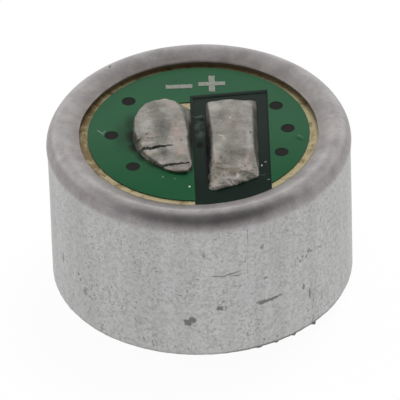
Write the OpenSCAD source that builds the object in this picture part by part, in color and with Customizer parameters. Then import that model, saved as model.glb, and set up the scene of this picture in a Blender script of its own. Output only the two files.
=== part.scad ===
// Electret microphone capsule with two soldered terminals.
// The capsule stands on its sound side. The axis of the can is Z, the origin lies under
// the middle of the dust felt, the ground terminal is on -X and the output terminal on +X.

/* [Can] */
// Outer diameter of the can
can_d = 9.7; // [9.5:0.1:10.4]
// Height of the can, from its front face to the crown of its rim
can_h = 5.5; // [5:0.1:6.5]
// Thickness of the drawn sheet
sheet_t = 0.2; // [0.16:0.01:0.24]
// Outside radius of the corner round the front face
front_corner_r = 0.14; // [0.06:0.01:0.16]
// Outside radius of the rolled shoulder
shoulder_r = 0.42; // [0.34:0.01:0.5]
// Angle at which the lip runs down to the board
lip_angle = 20; // [12:1:24]
// Distance that the lip reaches in from the outside of the can
lip_reach = 1.03; // [0.95:0.01:1.1]
// Diameter of a sound port
port_d = 0.8; // [0.5:0.05:1]
// Diameter of the circle that the outer sound ports lie on
port_circle_d = 3.4; // [2.6:0.1:4.4]
// Number of sound ports on that circle
port_count = 6; // [4:1:8]

/* [Dust felt] */
// Distance between the edge of the felt disc and the outside of the can
felt_margin = 0.65; // [0.35:0.05:1.3]
// Thickness of the felt
felt_t = 0.3; // [0.2:0.05:0.5]
// Radius of the felt's cut edge
felt_edge_r = 0.08; // [0.04:0.01:0.1]

/* [Diaphragm and back plate] */
// Thickness of the ring that carries the diaphragm
ring_t = 0.4; // [0.3:0.05:0.6]
// Width of that ring and of the spacer
ring_wall = 0.9; // [0.8:0.05:1.1]
// Thickness of the diaphragm
diaphragm_t = 0.03; // [0.02:0.01:0.05]
// Thickness of the spacer, which is the air gap
spacer_t = 0.05; // [0.03:0.01:0.1]
// Thickness of the charged film
electret_t = 0.03; // [0.02:0.01:0.05]
// Thickness of the back plate
plate_t = 0.4; // [0.3:0.05:0.6]
// Diameter of a hole in the back plate
plate_hole_d = 0.8; // [0.5:0.05:1.2]
// Diameter of the circle that the outer plate holes lie on
plate_hole_circle_d = 4.4; // [3.6:0.1:5]
// Number of plate holes on that circle
plate_hole_count = 6; // [4:1:8]

/* [Chamber] */
// Radial clearance between the can and the pieces stacked in it
stack_clearance = 0.05; // [0.02:0.01:0.08]
// Wall of the holder round the back plate
seat_wall = 0.52; // [0.42:0.02:0.62]
// Radial clearance of the back plate in its holder
plate_clearance = 0.03; // [0.02:0.01:0.06]
// Wall of the holder behind the back plate
holder_wall = 0.85; // [0.8:0.01:0.95]
// Depth and width of the chamfer on the holder's two outer edges
holder_chamfer = 0.12; // [0.05:0.01:0.2]
// Wall of the ring between the back plate and the board
gate_ring_wall = 0.3; // [0.2:0.05:0.35]
// Radial clearance of that ring in the holder
gate_ring_clearance = 0.03; // [0.02:0.01:0.06]

/* [Circuit board] */
// Thickness of the laminate
board_t = 0.6; // [0.4:0.05:0.8]
// Distance of the board's centre behind the axis of the can
board_shift = 0.16; // [0:0.01:0.18]
// Smallest radial clearance between the board and the can
board_clearance = 0.04; // [0.02:0.01:0.08]
// Thickness of the copper on both faces
copper_t = 0.04; // [0.02:0.01:0.06]
// Width of the bare laminate along the board's edge
copper_edge = 0.08; // [0.04:0.01:0.12]
// Thickness of the solder mask over copper
mask_t = 0.03; // [0.02:0.01:0.05]
// Depth by which the mask over bare laminate lies below the copper's face
mask_step = 0.01; // [0.005:0.005:0.015]
// Smallest distance between the mask and the lip
mask_margin = 0.1; // [0.02:0.01:0.25]
// Left side of the etched gap round the output land
gap_left = -0.18; // [-0.3:0.02:-0.1]
// Back edge of the etched gap at its left end, from the board's centre
gap_back = 1.96; // [1.86:0.02:2.1]
// How much further back the right end of that edge lies
gap_back_rise = 0.23; // [0:0.01:0.3]

/* [Vias] */
// Diameter of a plated via
via_d = 0.45; // [0.36:0.01:0.5]
// Wall of the plating
via_wall = 0.04; // [0.02:0.01:0.06]
// Distance of the left vias' centres from the edge of the mask
left_via_inset = 0.77; // [0.7:0.01:0.86]
// Direction of the middle via of the left three
left_via_angle = 179; // [174:1:186]
// Angle between the left vias
left_via_step = 39; // [30:1:42]
// How much nearer to the centre each left via lies than the one behind it
left_via_drift = 0.1; // [0:0.01:0.12]
// Direction of the middle via of the right three
right_via_angle = 2.5; // [-2:0.5:6]
// Angle between the right vias
right_via_step = 26; // [20:0.5:27]
// Distance of the right vias' centres from the edge of the mask
right_via_inset = 0.698; // [0.65:0.002:0.75]
// Distance between the right vias and the etched gap
via_margin = 0.02; // [0.01:0.01:0.06]
// Depth of the dimple over a plug, below the mask
plug_dimple = 0.01; // [0.005:0.005:0.015]
// Diameter of the filled via under the output land
output_via_d = 0.4; // [0.3:0.05:0.5]

/* [Terminals] */
// Distance between the half-round ground land and the left vias
ground_via_margin = 0.465; // [0.4:0.005:0.7]
// Place of the middle of its straight edge, from the board's centre to the back
ground_land_y = -0.14; // [-0.3:0.02:0.1]
// Distance of its straight edge from the etched gap
ground_land_margin = 0.06; // [0.04:0.01:0.12]
// Left edge of the output land
output_land_left = 0.3; // [0.2:0.02:0.4]
// Distance of its right edge from the etched gap
output_land_margin = 0.41; // [0.3:0.01:0.6]
// Back edge of the output land, from the board's centre
output_land_back = 1.66; // [1.5:0.02:1.8]
// Radius of the arc, round the board's centre, that ends the output land at the front
output_land_front_r = 2.95; // [2.8:0.05:3.2]
// Width of land left bare round the solder
solder_inset = 0.03; // [0.02:0.01:0.08]
// Depth by which a long side of the solder draws in
side_waist = 0.08; // [0.02:0.01:0.12]
// Height of the ground solder's head
ground_head_h = 0.62; // [0.4:0.02:0.8]
// Height of the ground solder's tail, at the front
ground_tail_h = 0.22; // [0.14:0.02:0.36]
// Height of the output solder
output_solder_h = 0.42; // [0.2:0.02:0.6]
// Radius of the output solder's corners
output_corner_r = 0.16; // [0.08:0.02:0.24]

/* [Inner face of the board] */
// Width of bare laminate inside the copper ring that the gate ring stands on
gate_land_gap = 0.1; // [0.08:0.01:0.14]
// Width of the copper round the vias
via_land_w = 0.05; // [0.03:0.01:0.06]
// Width of the ground copper's outer band
ground_band_w = 0.62; // [0.58:0.02:0.7]
// Width of the gate trace
gate_trace_w = 0.3; // [0.2:0.05:0.4]
// Width of bare laminate between copper areas
etch_w = 0.2; // [0.15:0.01:0.25]
// Width of copper showing round a soldered foot
land_margin = 0.1; // [0.05:0.01:0.14]

/* [Transistor] */
// Length of the transistor's body, across its leads
jfet_l = 2; // [1.8:0.05:2.2]
// Width of the body, along its leads
jfet_w = 1.25; // [1.15:0.05:1.35]
// Height of the body
jfet_h = 0.8; // [0.7:0.05:1]
// Draft of the body's sides, from its parting line
jfet_draft = 0.06; // [0.03:0.01:0.1]
// Gap between the body and the copper
jfet_standoff = 0.05; // [0.03:0.01:0.1]
// Place of the transistor, from the board's centre to the back
jfet_y = 1.05; // [0.9:0.05:1.2]
// Width over the tips of the leads
lead_span = 2.1; // [2:0.05:2.2]
// Distance between the two leads on one side
lead_pitch = 1.3; // [1.2:0.05:1.4]
// Width of a lead
lead_w = 0.3; // [0.2:0.05:0.4]
// Thickness of a lead
lead_t = 0.12; // [0.08:0.01:0.15]
// Length of a lead's foot
foot_l = 0.24; // [0.16:0.02:0.28]
// Length of a lead inside the body
lead_stub = 0.15; // [0.1:0.05:0.25]

/* [Chip capacitors] */
// Length of a chip over its end caps
chip_l = 1; // [0.9:0.05:1.1]
// Width and height of a chip
chip_w = 0.5; // [0.4:0.05:0.6]
// Length of an end cap
chip_end_l = 0.25; // [0.15:0.05:0.3]
// Depth by which the ceramic lies below its end caps
chip_step = 0.02; // [0.01:0.01:0.04]
// Place of the back chip, from the board's centre
chip_y = -0.62; // [-0.8:0.02:-0.6]
// Distance between the two chips
chip_pitch = 0.95; // [0.85:0.05:1.1]
// Length of a solder fillet
fillet_l = 0.09; // [0.05:0.01:0.12]

/* [Hidden] */
$fn = 96;
overrun = 1;

can_r = can_d / 2;
inner_r = can_r - sheet_t;
opening_r = can_r - lip_reach;
felt_r = can_r - felt_margin;

// radii of the pieces stacked in the can
stack_r = inner_r - stack_clearance;
ring_bore_r = stack_r - ring_wall;
seat_r = stack_r - seat_wall;
plate_r = seat_r - plate_clearance;
holder_bore_r = stack_r - holder_wall;

// heights of the can
can_z = felt_t;
floor_z = can_z + sheet_t;
crown_z = can_z + can_h;
shoulder_at = [can_r - shoulder_r, crown_z - shoulder_r];
lip_l = (shoulder_at.x - shoulder_r * sin(lip_angle) - opening_r) / cos(lip_angle);
lip_foot_z = shoulder_at.y + (shoulder_r - sheet_t) * cos(lip_angle) - lip_l * sin(lip_angle);

// heights of the board, which the foot of the lip presses on
copper_top = lip_foot_z;
board_top = copper_top - copper_t;
board_z = board_top - board_t;
inner_copper_z = board_z - copper_t;
mask_top = copper_top + mask_t;
low_mask_top = copper_top - mask_step;

// heights of the stack between the can's floor and the board
diaphragm_z = floor_z + ring_t;
spacer_z = diaphragm_z + diaphragm_t;
holder_z = spacer_z + spacer_t;
plate_z = holder_z + electret_t;
ledge_z = plate_z + plate_t;

// radii of the board and its copper
board_r = inner_r - board_shift - board_clearance;
copper_r = board_r - copper_edge;
mask_r = opening_r - board_shift - mask_margin;
left_via_r = mask_r - left_via_inset;
right_via_r = mask_r - right_via_inset;
inner_ground_r = max(left_via_r + left_via_drift, right_via_r) + via_d / 2 + via_land_w;
gate_land_bore_r = inner_ground_r + gate_land_gap;

// etched gap and terminals, between the two groups of vias
gap_right = right_via_r * cos(right_via_angle + right_via_step) - via_d / 2 - via_margin;
ground_edge_x = gap_left - ground_land_margin;
ground_land_r = left_via_r - via_d / 2 - ground_via_margin + ground_edge_x;
output_land_right = gap_right - output_land_margin;
output_land_w = output_land_right - output_land_left;
output_via_at = [(output_land_left + output_land_right) / 2, chip_y];

// soldered feet on the inner face
lead_tip = lead_span / 2;
foot_land_l = foot_l + fillet_l + 2 * land_margin;
foot_land_y = lead_tip + fillet_l / 2 - foot_l / 2;
chip_copper_front = chip_y - chip_pitch - chip_w / 2 - land_margin;
chip_copper_back = jfet_y - foot_land_y + foot_land_l / 2;

function along_arc(middle, radius, from, to, steps) =
    [for (i = [0:steps])
        let (angle = from + (to - from) * i / steps)
        middle + radius * [cos(angle), sin(angle)]];

// a side from start to end that bows to its left by the given depth
function bowed(start, end, depth, steps) =
    let (run = end - start, aside = [-run.y, run.x] / norm(run))
    [for (i = [0:steps]) start + run * i / steps + aside * depth * sin(180 * i / steps)];

function eased(t) =
    let (held = min(max(t, 0), 1))
    held * held * (3 - 2 * held);

module on_board(z) {
    translate([0, board_shift, z]) children();
}

// the inner face looks down, so its parts are drawn upright and turned over
module under_board() {
    translate([0, board_shift, inner_copper_z]) mirror([0, 0, 1]) children();
}

module ring(outer_r, bore_r, z, h) {
    translate([0, 0, z]) difference() {
        cylinder(r = outer_r, h = h);
        translate([0, 0, -overrun]) cylinder(r = bore_r, h = h + 2 * overrun);
    }
}

module hole_pattern(hole_d, circle_d, count) {
    cylinder(d = hole_d, h = overrun);
    for (i = [0:count - 1])
        rotate(360 / count * i) translate([circle_d / 2, 0, 0]) cylinder(d = hole_d, h = overrun);
}

// Can: one drawn cup, with its open end rolled down to the board

module shoulder_profile() {
    reach = 2 * shoulder_r;
    translate(shoulder_at) intersection() {
        difference() {
            circle(shoulder_r);
            circle(shoulder_r - sheet_t);
        }
        polygon([[0, 0], [reach, 0], [reach, reach], reach * [-sin(lip_angle), cos(lip_angle)]]);
    }
}

module lip_profile() {
    translate(shoulder_at) rotate(lip_angle) translate([-lip_l, shoulder_r - sheet_t])
        square([lip_l, sheet_t]);
}

module can_profile() {
    difference() {
        union() {
            translate([0, can_z]) square([can_r, sheet_t]);
            translate([inner_r, can_z]) square([sheet_t, shoulder_at.y - can_z]);
            shoulder_profile();
            lip_profile();
        }
        translate([can_r - front_corner_r, can_z]) difference() {
            translate([0, -overrun]) square([front_corner_r + overrun, front_corner_r + overrun]);
            translate([0, front_corner_r]) circle(front_corner_r);
        }
    }
}

module can() {
    color("#a8a8a5") difference() {
        rotate_extrude() can_profile();
        translate([0, 0, floor_z - overrun / 2]) hole_pattern(port_d, port_circle_d, port_count);
    }
}

module dust_felt() {
    edge_x = felt_r - felt_edge_r;
    color("#2b2b2d") rotate_extrude() union() {
        square([edge_x, felt_t]);
        translate([edge_x, felt_edge_r]) square([felt_edge_r, felt_t - felt_edge_r]);
        translate([edge_x, felt_edge_r]) intersection() {
            circle(felt_edge_r);
            translate([0, -felt_edge_r]) square(felt_edge_r);
        }
    }
}

// Diaphragm stack and back plate, from the can's floor towards the board

module diaphragm_ring() {
    color("#c9a755") ring(stack_r, ring_bore_r, floor_z, ring_t);
}

module diaphragm() {
    color("#d8d8dc") translate([0, 0, diaphragm_z]) cylinder(r = stack_r, h = diaphragm_t);
}

module spacer() {
    color("#e8e4d4") ring(stack_r, ring_bore_r, spacer_z, spacer_t);
}

module plate_holes() {
    translate([0, 0, ledge_z - overrun / 2])
        hole_pattern(plate_hole_d, plate_hole_circle_d, plate_hole_count);
}

module electret_film() {
    color("#dfe6ea") difference() {
        translate([0, 0, holder_z]) cylinder(r = plate_r, h = electret_t);
        plate_holes();
    }
}

module back_plate() {
    color("#c9a755") difference() {
        translate([0, 0, plate_z]) cylinder(r = plate_r, h = plate_t);
        plate_holes();
    }
}

module plate_holder() {
    top_z = inner_copper_z;
    inset_r = stack_r - holder_chamfer;
    color("#ece8dc") rotate_extrude() polygon([
        [seat_r, holder_z],
        [inset_r, holder_z],
        [stack_r, holder_z + holder_chamfer],
        [stack_r, top_z - holder_chamfer],
        [inset_r, top_z],
        [holder_bore_r, top_z],
        [holder_bore_r, ledge_z],
        [seat_r, ledge_z]
    ]);
}

module gate_ring() {
    outer_r = holder_bore_r - gate_ring_clearance;
    color("#b9bbbd") ring(outer_r, outer_r - gate_ring_wall, ledge_z, inner_copper_z - ledge_z);
}

// Circuit board, its copper, vias and solder mask

module at_vias() {
    for (k = [-1:1]) {
        rotate(left_via_angle + k * left_via_step) translate([left_via_r - k * left_via_drift, 0]) children();
        rotate(right_via_angle + k * right_via_step) translate([right_via_r, 0]) children();
    }
}

module via_holes() {
    at_vias() circle(d = via_d);
}

module output_via_hole() {
    translate(output_via_at) circle(d = output_via_d);
}

module gap_area(inset = 0) {
    slope = gap_back_rise / (gap_right - gap_left);
    // the tilted back edge moves in by the inset too
    back = gap_back - inset * sqrt(1 + slope * slope);
    polygon([
        [gap_left + inset, -can_d], [gap_right - inset, -can_d],
        [gap_right - inset, back + gap_back_rise - inset * slope], [gap_left + inset, back + inset * slope],
    ]);
}

module ground_land_area() {
    translate([ground_edge_x, ground_land_y]) intersection() {
        circle(ground_land_r);
        translate([-can_d, -can_r]) square(can_d);
    }
}

module output_land_area() {
    intersection() {
        translate([output_land_left, -can_d]) square([output_land_w, can_d + output_land_back]);
        circle(output_land_front_r);
    }
}

module circuit_board() {
    color("#b8ad7a") on_board(board_z) linear_extrude(board_t) difference() {
        circle(board_r);
        via_holes();
        output_via_hole();
    }
}

module ground_copper() {
    color("#c2b27c") on_board(board_top) linear_extrude(copper_t) difference() {
        circle(copper_r);
        gap_area();
        via_holes();
    }
}

module output_land() {
    color("#c2b27c") on_board(board_top) linear_extrude(copper_t) difference() {
        output_land_area();
        output_via_hole();
    }
}

module via_barrels() {
    color("#b87b4b") on_board(inner_copper_z) linear_extrude(copper_top - inner_copper_z) at_vias()
        difference() {
            circle(d = via_d);
            circle(d = via_d - 2 * via_wall);
        }
}

module via_plugs() {
    color("#34343a") {
        on_board(inner_copper_z) linear_extrude(copper_top - inner_copper_z)
            at_vias() circle(d = via_d - 2 * via_wall);
        on_board(copper_top) linear_extrude(mask_t - plug_dimple) via_holes();
    }
}

module output_via() {
    color("#b87b4b") on_board(inner_copper_z) linear_extrude(copper_top - inner_copper_z)
        output_via_hole();
}

// the coat is even over the copper, runs down its edge into the gap and lies lower there
module solder_mask() {
    color("#2f6e4a") {
        on_board(copper_top) linear_extrude(mask_t) difference() {
            circle(mask_r);
            gap_area();
            ground_land_area();
            via_holes();
        }
        on_board(board_top) linear_extrude(mask_top - board_top) difference() {
            intersection() {
                gap_area();
                circle(mask_r);
            }
            gap_area(mask_t);
        }
        on_board(board_top) linear_extrude(low_mask_top - board_top) difference() {
            intersection() {
                gap_area();
                circle(copper_r);
            }
            output_land_area();
        }
    }
}

// Solder on the terminals: each outline rises in rings to a crest, steeply at its edge

module solder_mound(outline, crest, fullness, height_at) {
    rings = 7;
    crest_angle = 90;
    count = len(outline);
    top = rings * count;
    ring_points = [
        for (k = [0:rings - 1])
            let (rise = crest_angle * k / rings, spread = pow(cos(rise), fullness))
            for (edge = outline)
                let (at = crest + (edge - crest) * spread)
                [at.x, at.y, height_at(at) * pow(sin(rise), fullness)]
    ];
    points = concat(ring_points, [[crest.x, crest.y, height_at(crest)]]);
    sides = [
        for (k = [0:rings - 2])
            for (i = [0:count - 1])
                let (a = k * count + i, b = k * count + (i + 1) % count)
                for (corners = [[a, a + count, b + count], [a, b + count, b]]) corners
    ];
    last = (rings - 1) * count;
    cap = [for (i = [0:count - 1]) [last + i, top, last + (i + 1) % count]];
    base = [[for (i = [0:count - 1]) i]];
    polyhedron(points = points, faces = concat(base, sides, cap));
}

// the ground solder has a tall head and slumps to a thin tail at the front
module ground_solder() {
    radius = ground_land_r - solder_inset;
    middle = [ground_edge_x, ground_land_y];
    edge_x = ground_edge_x - solder_inset;
    bare_corner = 112;
    front_corner = 262;
    side_front = ground_land_y + radius * sin(front_corner);
    side_back = ground_land_y + radius * 0.35;
    outline = concat(
        along_arc(middle, radius, bare_corner, front_corner, 30),
        bowed([edge_x, side_front], [edge_x, side_back], side_waist, 8)
    );
    height_at = function (at)
        let (forward = (at.y - ground_land_y + 0.6 * radius) / radius)
        ground_tail_h + (ground_head_h - ground_tail_h) * eased(forward);
    crest = middle + radius * [-0.48, 0.3];
    color("#8a8680") on_board(copper_top) solder_mound(outline, crest, 0.6, height_at);
}

// the output solder is a pillow with a flat crown
module output_solder() {
    left = output_land_left + solder_inset;
    right = output_land_right - solder_inset;
    back = output_land_back - solder_inset;
    front_r = output_land_front_r - solder_inset;
    round_r = output_corner_r;
    side_back = back - round_r;
    first_step = 2;
    front_left = [left, -sqrt(front_r * front_r - left * left)];
    front_right = [right, -sqrt(front_r * front_r - right * right)];
    outline = concat(
        along_arc([right - round_r, side_back], round_r, 0, 90, 5),
        along_arc([left + round_r, side_back], round_r, 90, 180, 5),
        bowed([left, side_back - round_r], front_left, side_waist, 5),
        along_arc([0, 0], front_r,
            first_step - acos(left / front_r), -acos(right / front_r) - first_step, 8),
        bowed(front_right, [right, side_back - round_r], side_waist / 2, 5)
    );
    crest = [(left + right) / 2, (back - front_r) / 2];
    height_at = function (at) output_solder_h * (1 - 0.06 * norm(at - crest) / front_r);
    color("#8a8680") on_board(copper_top) solder_mound(outline, crest, 0.5, height_at);
}

// Inner face of the board: copper, transistor and chip capacitors

module foot_land(x, y) {
    translate([x, y]) square([lead_w + 2 * land_margin, foot_land_l], center = true);
}

module gate_land() {
    trace_y = jfet_y + foot_land_y;
    trace_l = (gate_land_bore_r + copper_r) / 2 - trace_y;
    color("#c2b27c") on_board(inner_copper_z) linear_extrude(copper_t) union() {
        difference() {
            circle(copper_r);
            circle(gate_land_bore_r);
        }
        translate([-gate_trace_w / 2, trace_y]) square([gate_trace_w, trace_l]);
        foot_land(0, trace_y);
    }
}

module inner_ground() {
    notch_w = max(gate_trace_w, lead_w + 2 * land_margin) + 2 * etch_w;
    color("#c2b27c") on_board(inner_copper_z) linear_extrude(copper_t) difference() {
        union() {
            difference() {
                circle(inner_ground_r);
                circle(inner_ground_r - ground_band_w);
                translate([-notch_w / 2, 0]) square([notch_w, can_r]);
            }
            intersection() {
                translate([-can_r, chip_copper_front])
                    square([can_r - etch_w, chip_copper_back - chip_copper_front]);
                circle(inner_ground_r);
            }
        }
        via_holes();
    }
}

module drain_copper() {
    clear_r = inner_ground_r - ground_band_w - etch_w;
    color("#c2b27c") on_board(inner_copper_z) linear_extrude(copper_t) difference() {
        intersection() {
            translate([etch_w, chip_copper_front]) square([can_r, chip_copper_back - chip_copper_front]);
            circle(clear_r);
        }
        output_via_hole();
    }
}

module at_leads() {
    rotate(180) for (x = [-1, 1]) translate([x * lead_pitch / 2, 0]) children();
    children();
}

module lead() {
    middle_z = jfet_standoff + jfet_h / 2;
    start_y = jfet_w / 2 - lead_stub;
    knee_y = lead_tip - foot_l;
    translate([-lead_w / 2, 0]) rotate([90, 0, 90]) linear_extrude(lead_w) polygon([
        [start_y, middle_z + lead_t / 2],
        [knee_y, middle_z + lead_t / 2],
        [knee_y, lead_t],
        [lead_tip, lead_t],
        [lead_tip, 0],
        [knee_y - lead_t, 0],
        [knee_y - lead_t, middle_z - lead_t / 2],
        [start_y, middle_z - lead_t / 2]
    ]);
}

module drafted_bar(width, length) {
    half = width / 2;
    translate([-length / 2, 0]) rotate([90, 0, 90]) linear_extrude(length) polygon([
        [-half + jfet_draft, 0],
        [half - jfet_draft, 0],
        [half, jfet_h / 2],
        [half - jfet_draft, jfet_h],
        [-half + jfet_draft, jfet_h],
        [-half, jfet_h / 2]
    ]);
}

module jfet_body() {
    color("#26262a") under_board() translate([0, jfet_y]) difference() {
        translate([0, 0, jfet_standoff]) intersection() {
            drafted_bar(jfet_w, jfet_l + overrun);
            rotate(90) drafted_bar(jfet_l, jfet_w + overrun);
        }
        at_leads() lead();
    }
}

module jfet_leads() {
    color("#b9bbbd") under_board() translate([0, jfet_y]) at_leads() lead();
}

module at_chips() {
    for (k = [0, 1]) translate([0, chip_y - k * chip_pitch]) children();
}

module capacitor_bodies() {
    body_l = chip_l - 2 * chip_end_l;
    body_w = chip_w - 2 * chip_step;
    color("#b59a78") under_board() at_chips()
        translate([-body_l / 2, -body_w / 2, chip_step]) cube([body_l, body_w, body_w]);
}

module capacitor_end_caps() {
    color("#b9bbbd") under_board() at_chips() for (side = [0, 180])
        rotate(side) translate([chip_l / 2 - chip_end_l, -chip_w / 2]) cube([chip_end_l, chip_w, chip_w]);
}

module fillet(height, width) {
    translate([-width / 2, 0]) rotate([90, 0, 90]) linear_extrude(width)
        polygon([[0, 0], [fillet_l, 0], [0, height]]);
}

module inner_solder_joints() {
    color("#a6a6a4") under_board() {
        translate([0, jfet_y]) at_leads() translate([0, lead_tip]) fillet(lead_t, lead_w);
        at_chips() for (side = [-90, 90])
            rotate(side) translate([0, chip_l / 2]) fillet(chip_w / 2, chip_w);
    }
}

can();
dust_felt();
diaphragm_ring();
diaphragm();
spacer();
electret_film();
back_plate();
plate_holder();
gate_ring();
circuit_board();
ground_copper();
output_land();
via_barrels();
via_plugs();
output_via();
solder_mask();
ground_solder();
output_solder();
gate_land();
inner_ground();
drain_copper();
jfet_body();
jfet_leads();
capacitor_bodies();
capacitor_end_caps();
inner_solder_joints();
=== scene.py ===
# Electret microphone capsule, terminal side up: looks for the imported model.
# Pieces are modelled in millimetres and brought to the frame's metres when they are done.
import math

import bpy
from mathutils import Matrix, Vector


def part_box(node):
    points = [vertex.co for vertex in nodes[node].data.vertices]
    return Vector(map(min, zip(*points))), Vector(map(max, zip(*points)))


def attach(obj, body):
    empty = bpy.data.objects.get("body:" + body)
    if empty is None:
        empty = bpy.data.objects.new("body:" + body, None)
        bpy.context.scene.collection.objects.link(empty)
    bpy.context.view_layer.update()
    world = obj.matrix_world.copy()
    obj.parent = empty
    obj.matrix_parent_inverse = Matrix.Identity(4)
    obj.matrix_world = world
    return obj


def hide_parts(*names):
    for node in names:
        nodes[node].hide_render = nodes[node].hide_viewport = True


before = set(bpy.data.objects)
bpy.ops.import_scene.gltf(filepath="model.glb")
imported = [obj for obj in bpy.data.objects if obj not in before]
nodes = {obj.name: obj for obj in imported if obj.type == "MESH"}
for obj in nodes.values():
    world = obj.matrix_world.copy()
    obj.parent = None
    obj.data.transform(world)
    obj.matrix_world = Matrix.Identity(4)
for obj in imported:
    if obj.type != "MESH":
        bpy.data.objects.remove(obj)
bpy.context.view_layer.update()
mm = 0.001
print("frame loaded:", len(nodes), "nodes")


def nodeBox(name):
    low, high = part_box(name)
    return [c / mm for c in low], [c / mm for c in high]


canLow, canHigh = nodeBox("can")
copperTop = nodeBox("ground_copper")[1][2]
maskTop = nodeBox("solder_mask")[1][2]


# Modelling helpers

weldReach = 0.0005   # points nearer than this become one


def clearSelection():
    if bpy.context.mode != "OBJECT":
        bpy.ops.object.mode_set(mode="OBJECT")
    bpy.ops.object.select_all(action="DESELECT")


def makeActive(piece):
    clearSelection()
    piece.select_set(True)
    bpy.context.view_layer.objects.active = piece


def selectNothing(mode):
    # in the active mesh, ready to select in this mode
    bpy.ops.object.mode_set(mode="EDIT")
    bpy.ops.mesh.select_mode(type=mode)
    bpy.ops.mesh.select_all(action="DESELECT")
    bpy.ops.object.mode_set(mode="OBJECT")


def faceOutwards():
    # ends the work in edit mode
    bpy.ops.mesh.select_all(action="SELECT")
    bpy.ops.mesh.normals_make_consistent(inside=False)
    bpy.ops.object.mode_set(mode="OBJECT")


def drawLine(name, points):
    # a plane merged to one point, which is then extruded from place to place
    clearSelection()
    bpy.ops.mesh.primitive_plane_add(size=1, location=(0, 0, 0))
    piece = bpy.context.object
    piece.name = name
    bpy.ops.object.mode_set(mode="EDIT")
    bpy.ops.mesh.select_mode(type="VERT")
    bpy.ops.mesh.merge(type="CENTER")
    bpy.ops.transform.translate(value=points[0])
    for start, end in zip(points, points[1:]):
        step = Vector(end) - Vector(start)
        bpy.ops.mesh.extrude_region_move(TRANSFORM_OT_translate={"value": step})
    return piece


def turnProfile(name, profile, steps):
    piece = drawLine(name, [(r, 0, z) for r, z in profile])
    bpy.ops.mesh.select_all(action="SELECT")
    bpy.ops.mesh.spin(steps=steps, angle=2 * math.pi, center=(0, 0, 0), axis=(0, 0, 1))
    bpy.ops.mesh.select_all(action="SELECT")
    bpy.ops.mesh.remove_doubles(threshold=weldReach)
    faceOutwards()
    return piece


def arcPoints(centre, radius, start, end, steps):
    angles = [math.radians(start + (end - start) * i / steps) for i in range(steps + 1)]
    return [(centre[0] + radius * math.cos(a), centre[1] + radius * math.sin(a)) for a in angles]


def between(start, end, steps):
    # the points after start, up to and with end
    return [tuple(s + (e - s) * i / steps for s, e in zip(start, end)) for i in range(1, steps + 1)]


def applyModifier(piece, kind, **settings):
    makeActive(piece)
    modifier = piece.modifiers.new(kind.lower(), kind)
    for name, value in settings.items():
        setattr(modifier, name, value)
    bpy.ops.object.modifier_apply(modifier=modifier.name)


def cutAway(piece, tool, solver="MANIFOLD"):
    applyModifier(piece, "BOOLEAN", operation="DIFFERENCE", object=tool, solver=solver)
    bpy.data.objects.remove(tool)


def roughen(piece, grain, depth, weightAt=None, level=0.5):
    # uneven by depth, in lumps of about the grain's size, where weightAt says so; at level 1 only inwards
    texture = bpy.data.textures.new(piece.name + "_unevenness", "CLOUDS")
    texture.noise_scale = grain
    texture.noise_depth = 2
    settings = dict(texture=texture, strength=depth, mid_level=level, texture_coords="LOCAL")
    if weightAt:
        group = piece.vertex_groups.new(name="rough")
        for vert in piece.data.vertices:
            weight = weightAt(vert.co)
            if weight > 0:
                group.add([vert.index], min(weight, 1), "REPLACE")
        settings["vertex_group"] = group.name
    applyModifier(piece, "DISPLACE", **settings)
    piece.vertex_groups.clear()


def finishPiece(piece, material, replaced=(), smoothAngle=40):
    makeActive(piece)
    bpy.ops.object.transform_apply(location=True, rotation=True, scale=True)
    piece.scale = (mm, mm, mm)
    bpy.ops.object.transform_apply(location=False, rotation=False, scale=True)
    bpy.ops.object.shade_smooth_by_angle(angle=math.radians(smoothAngle))
    piece.data.materials.clear()
    piece.data.materials.append(material)
    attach(piece, "root")
    if replaced:
        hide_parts(*replaced)
    print("piece:", piece.name, len(piece.data.polygons), "faces")


# Material helpers

markShape = {
    "halfHeight": 3,   # marks on the board reach through all that stands on it
    "fadeEnd": 1.1,    # where a mark has faded out, in its half sizes
    "wobble": 0.12,    # size of the ragged edge's waves
}


def colour(code):
    # sRGB hex to linear
    parts = [int(code[i:i + 2], 16) / 255 for i in (1, 3, 5)]
    return [p / 12.92 if p <= 0.04045 else ((p + 0.055) / 1.055) ** 2.4 for p in parts] + [1]


def linkTo(tree, node, links):
    # a source is a socket, or a node for the first output that it has in use
    for name, source in links.items():
        if isinstance(source, bpy.types.Node):
            source = next(socket for socket in source.outputs if socket.enabled)
        tree.links.new(source, node.inputs[name])


def addNode(tree, kind, settings={}, links={}):
    # a mix is always one of colours: input 0 is the share, 6 the colour under and 7 the colour over
    node = tree.nodes.new("ShaderNode" + kind)
    if kind == "Mix":
        node.data_type = "RGBA"
    for name, value in settings.items():
        if isinstance(name, int) or name in node.inputs:
            node.inputs[name].default_value = value
        else:
            setattr(node, name, value)
    linkTo(tree, node, links)
    return node


def startMaterial(name, **sockets):
    material = bpy.data.materials.new(name)
    material.use_nodes = True
    tree = material.node_tree
    shader = tree.nodes["Principled BSDF"]
    for socket, value in sockets.items():
        shader.inputs[socket.replace("_", " ")].default_value = value
    place = addNode(tree, "TexCoord").outputs["Object"]
    return material, tree, shader, place


def linkSurface(tree, shader, coat, relief, strength, depth):
    # the finished colour, and a relief of this depth in mm
    bump = addNode(tree, "Bump", {"Strength": strength, "Distance": depth * mm}, {"Height": relief})
    linkTo(tree, shader, {"Base Color": coat, "Normal": bump})
    return bump


def perMm(size):
    # pattern scale for features of this size in millimetres
    return 1 / (size * mm)


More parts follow.
